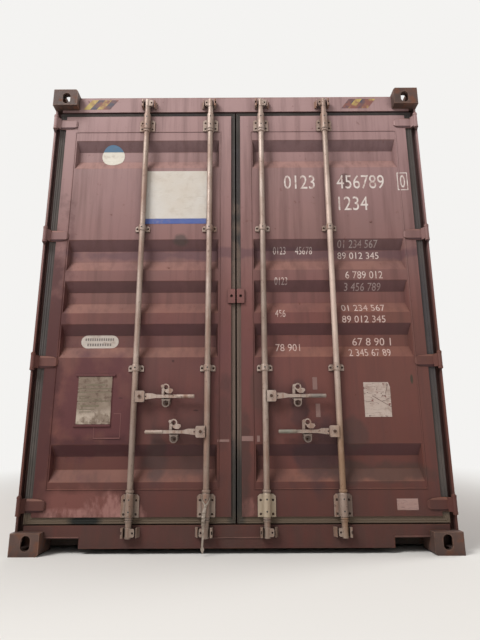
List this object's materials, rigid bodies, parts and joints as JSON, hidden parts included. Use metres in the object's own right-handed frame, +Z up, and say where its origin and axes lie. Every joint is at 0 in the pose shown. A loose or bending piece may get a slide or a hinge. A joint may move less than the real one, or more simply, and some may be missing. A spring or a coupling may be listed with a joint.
{
  "type": "shipping container, 40 ft high-cube dry freight box",
  "caption": "Long corrugated steel freight container with double end doors, locking rods, corner castings, plywood floor and gooseneck tunnel.",
  "frame": {"origin": "middle of the base, on the ground under the corner castings", "axes": "+Z up, +Y from the door end to the front end, +X to the right when looking at the doors"},
  "size_m": [2.438, 12.192, 2.896],
  "materials": {
    "red_paint": "weathered oxide-red paint, rust at edges",
    "casting_paint": "dark worn paint on cast steel",
    "galvanised_gear": "dull galvanised steel with old paint and rust",
    "seal_rubber": "matt aged rubber",
    "underbody_coating": "matt dark coating",
    "plywood": "worn sealed plywood",
    "vent_plastic": "painted moulded plastic"
  },
  "bodies": {
    "container": {"bottom_corner_castings": "casting_paint", "top_corner_castings": "casting_paint", "rear_corner_posts": "red_paint", "front_corner_posts": "red_paint", "door_header": "red_paint", "door_sill": "red_paint", "threshold_plate": "red_paint", "front_top_rail": "red_paint", "front_bottom_rail": "red_paint", "top_side_rails": "red_paint", "bottom_side_rails": "red_paint", "left_side_wall": "red_paint", "right_side_wall": "red_paint", "front_wall": "red_paint", "roof_sheet": "red_paint", "roof_end_plates": "red_paint", "side_vents": "vent_plastic", "cross_members": "underbody_coating", "gooseneck_tunnel": "underbody_coating", "plywood_floor": "plywood", "floor_centre_rail": "underbody_coating", "hinge_lugs": "red_paint", "cam_keepers": "galvanised_gear"},
    "left_door": {"left_door_frame": "red_paint", "left_door_panel": "red_paint", "left_door_seal": "seal_rubber", "left_hinge_blades": "red_paint", "left_rod_brackets": "galvanised_gear", "left_handle_cradles": "galvanised_gear", "left_lock_plate": "red_paint"},
    "right_door": {"right_door_frame": "red_paint", "right_door_panel": "red_paint", "right_door_seal": "seal_rubber", "right_hinge_blades": "red_paint", "right_rod_brackets": "galvanised_gear", "right_handle_cradles": "galvanised_gear", "right_lock_plate": "red_paint"},
    "left_outer_rod": {"left_outer_rod": "galvanised_gear"},
    "left_outer_handle": {"left_outer_handle": "galvanised_gear"},
    "left_outer_catch": {"left_outer_catch": "galvanised_gear"},
    "left_inner_rod": {"left_inner_rod": "galvanised_gear"},
    "left_inner_handle": {"left_inner_handle": "galvanised_gear"},
    "left_inner_catch": {"left_inner_catch": "galvanised_gear"},
    "right_inner_rod": {"right_inner_rod": "galvanised_gear"},
    "right_inner_handle": {"right_inner_handle": "galvanised_gear"},
    "right_inner_catch": {"right_inner_catch": "galvanised_gear"},
    "right_outer_rod": {"right_outer_rod": "galvanised_gear"},
    "right_outer_handle": {"right_outer_handle": "galvanised_gear"},
    "right_outer_catch": {"right_outer_catch": "galvanised_gear"}
  },
  "joints": [
    {"name": "left_door_swing", "type": "hinge", "parent": "container", "child": "left_door", "pos_m": [-1.196, -6.066, 1.448], "axis": [0, 0, -1], "range_deg": [0, 264]},
    {"name": "right_door_swing", "type": "hinge", "parent": "container", "child": "right_door", "pos_m": [1.196, -6.066, 1.448], "axis": [0, 0, 1], "range_deg": [0, 264]},
    {"name": "left_outer_rod_turn", "type": "hinge", "parent": "left_door", "child": "left_outer_rod", "pos_m": [-0.59, -6.06, 0.848], "axis": [0, 0, 1], "range_deg": [-95, 0]},
    {"name": "left_outer_handle_lift", "type": "hinge", "parent": "left_outer_rod", "child": "left_outer_handle", "pos_m": [-0.556, -6.077, 0.848], "axis": [0, 1, 0], "range_deg": [-12, 0]},
    {"name": "left_outer_catch_swing", "type": "hinge", "parent": "left_door", "child": "left_outer_catch", "pos_m": [-0.424, -6.0895, 0.905], "axis": [0, 1, 0], "range_deg": [-90, 0]},
    {"name": "left_inner_rod_turn", "type": "hinge", "parent": "left_door", "child": "left_inner_rod", "pos_m": [-0.168, -6.06, 0.648], "axis": [0, 0, -1], "range_deg": [-95, 0]},
    {"name": "left_inner_handle_lift", "type": "hinge", "parent": "left_inner_rod", "child": "left_inner_handle", "pos_m": [-0.202, -6.077, 0.648], "axis": [0, -1, 0], "range_deg": [-12, 0]},
    {"name": "left_inner_catch_swing", "type": "hinge", "parent": "left_door", "child": "left_inner_catch", "pos_m": [-0.374, -6.0895, 0.705], "axis": [0, 1, 0], "range_deg": [-90, 0]},
    {"name": "right_inner_rod_turn", "type": "hinge", "parent": "right_door", "child": "right_inner_rod", "pos_m": [0.168, -6.06, 0.848], "axis": [0, 0, 1], "range_deg": [-95, 0]},
    {"name": "right_inner_handle_lift", "type": "hinge", "parent": "right_inner_rod", "child": "right_inner_handle", "pos_m": [0.202, -6.077, 0.848], "axis": [0, 1, 0], "range_deg": [-12, 0]},
    {"name": "right_inner_catch_swing", "type": "hinge", "parent": "right_door", "child": "right_inner_catch", "pos_m": [0.334, -6.0895, 0.905], "axis": [0, 1, 0], "range_deg": [-90, 0]},
    {"name": "right_outer_rod_turn", "type": "hinge", "parent": "right_door", "child": "right_outer_rod", "pos_m": [0.59, -6.06, 0.648], "axis": [0, 0, -1], "range_deg": [-95, 0]},
    {"name": "right_outer_handle_lift", "type": "hinge", "parent": "right_outer_rod", "child": "right_outer_handle", "pos_m": [0.556, -6.077, 0.648], "axis": [0, -1, 0], "range_deg": [-12, 0]},
    {"name": "right_outer_catch_swing", "type": "hinge", "parent": "right_door", "child": "right_outer_catch", "pos_m": [0.384, -6.0895, 0.705], "axis": [0, 1, 0], "range_deg": [-90, 0]}
  ]
}
